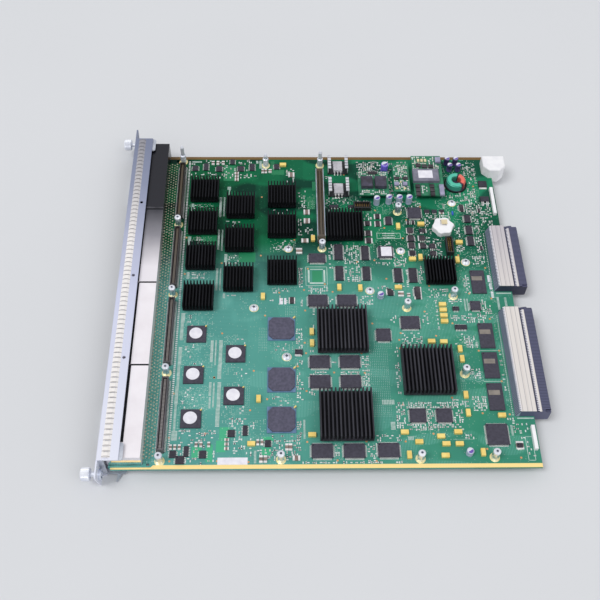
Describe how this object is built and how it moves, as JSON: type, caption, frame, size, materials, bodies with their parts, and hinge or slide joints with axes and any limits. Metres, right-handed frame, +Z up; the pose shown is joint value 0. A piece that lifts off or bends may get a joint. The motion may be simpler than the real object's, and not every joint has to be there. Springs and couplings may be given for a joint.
{
  "type": "switch line card",
  "caption": "Populated network line card: board with a bent faceplate, rows of copper port sockets, finned heatsinks, rear backplane connectors, ejector levers and captive screws",
  "frame": {"origin": "middle of the card's underside, below the lip of the faceplate", "axes": "+X from the faceplate to the rear connectors, +Y along the faceplate from the near ear to the far ear, +Z up out of the board's component side"},
  "size_m": [0.3938, 0.3882, 0.0359],
  "materials": {
    "board": "coated glass fibre laminate",
    "gold": "gold plated copper",
    "zinc": "zinc plated",
    "tin": "bright tin plate",
    "dark_tin": "bright tin plate in shadow",
    "gasket": "springy plated strip",
    "dark_plastic": "moulded",
    "blue_plastic": "moulded",
    "brown_plastic": "moulded",
    "pale_plastic": "moulded",
    "black_aluminium": "black anodised",
    "chip": "moulded",
    "substrate": "laminate",
    "yellow": "moulded",
    "can": "drawn can with sleeve",
    "dark_can": "drawn can with dark sleeve",
    "laminate": "coated laminate",
    "ferrite": "fired",
    "copper_green": "enamelled wire",
    "copper_red": "enamelled wire",
    "screw": "bright plated",
    "nickel": "nickel plated",
    "cream": "moulded"
  },
  "bodies": {
    "card": {"backplane_housings": "blue_plastic", "backplane_shields": "cream", "board_screws": "nickel", "can_capacitors": "can", "circuit_board": "board", "converter_boards": "laminate", "converter_inductors": "ferrite", "converter_pins": "nickel", "cooled_chips": "chip", "dark_capacitors": "dark_can", "ejector_brackets": "zinc", "ejector_pins": "nickel", "emi_gasket": "gasket", "faceplate": "zinc", "flat_pack_chips": "chip", "ground_strips": "gold", "guide_block": "blue_plastic", "guide_posts": "screw", "large_heatsinks": "black_aluminium", "memory_chips": "chip", "mezzanine_blades": "brown_plastic", "mezzanine_housings": "blue_plastic", "outline_chips": "chip", "pin_headers": "dark_plastic", "port_chips": "chip", "port_housing_1": "dark_plastic", "port_housing_2": "dark_plastic", "port_housing_3": "dark_plastic", "port_housing_4": "dark_plastic", "port_shield_1": "tin", "port_shield_2": "tin", "port_shield_3": "tin", "port_shield_4": "dark_tin", "rear_bumpers": "pale_plastic", "regulator_heatsinks": "tin", "regulators": "chip", "round_holder": "pale_plastic", "screw_bushings": "nickel", "small_heatsinks": "black_aluminium", "stacking_connector": "brown_plastic", "stacking_shields": "tin", "standoff_screws": "screw", "standoffs": "nickel", "switch_chips": "chip", "switch_substrates": "substrate", "tantalum_capacitors": "yellow", "toroid_core": "ferrite", "toroid_winding_green": "copper_green", "toroid_winding_red": "copper_red", "transformer": "ferrite", "wide_heatsink": "black_aluminium"},
    "lever_near": {"ejector_lever_near": "zinc"},
    "lever_far": {"ejector_lever_far": "zinc"},
    "ring_near": {"retaining_ring_near": "nickel"},
    "ring_far": {"retaining_ring_far": "nickel"},
    "screw_near": {"captive_screw_near": "screw"},
    "screw_far": {"captive_screw_far": "screw"}
  },
  "joints": [
    {"name": "lever_near_swing", "type": "hinge", "parent": "card", "child": "lever_near", "pos_m": [-0.1671, -0.165, 0.0012], "axis": [0, 0, 1], "range_deg": [0, 33]},
    {"name": "lever_far_swing", "type": "hinge", "parent": "card", "child": "lever_far", "pos_m": [-0.1671, 0.165, 0.0012], "axis": [0, 0, -1], "range_deg": [0, 33]},
    {"name": "screw_near_push", "type": "slide", "parent": "card", "child": "ring_near", "axis": [1, 0, 0], "range_m": [0, 0.0053]},
    {"name": "screw_far_push", "type": "slide", "parent": "card", "child": "ring_far", "axis": [1, 0, 0], "range_m": [0, 0.0053]},
    {"name": "screw_near_turn", "type": "hinge", "parent": "ring_near", "child": "screw_near", "pos_m": [-0.1861, -0.1848, 0.01525], "axis": [1, 0, 0], "continuous": true},
    {"name": "screw_far_turn", "type": "hinge", "parent": "ring_far", "child": "screw_far", "pos_m": [-0.1861, 0.1848, 0.01525], "axis": [1, 0, 0], "continuous": true}
  ]
}
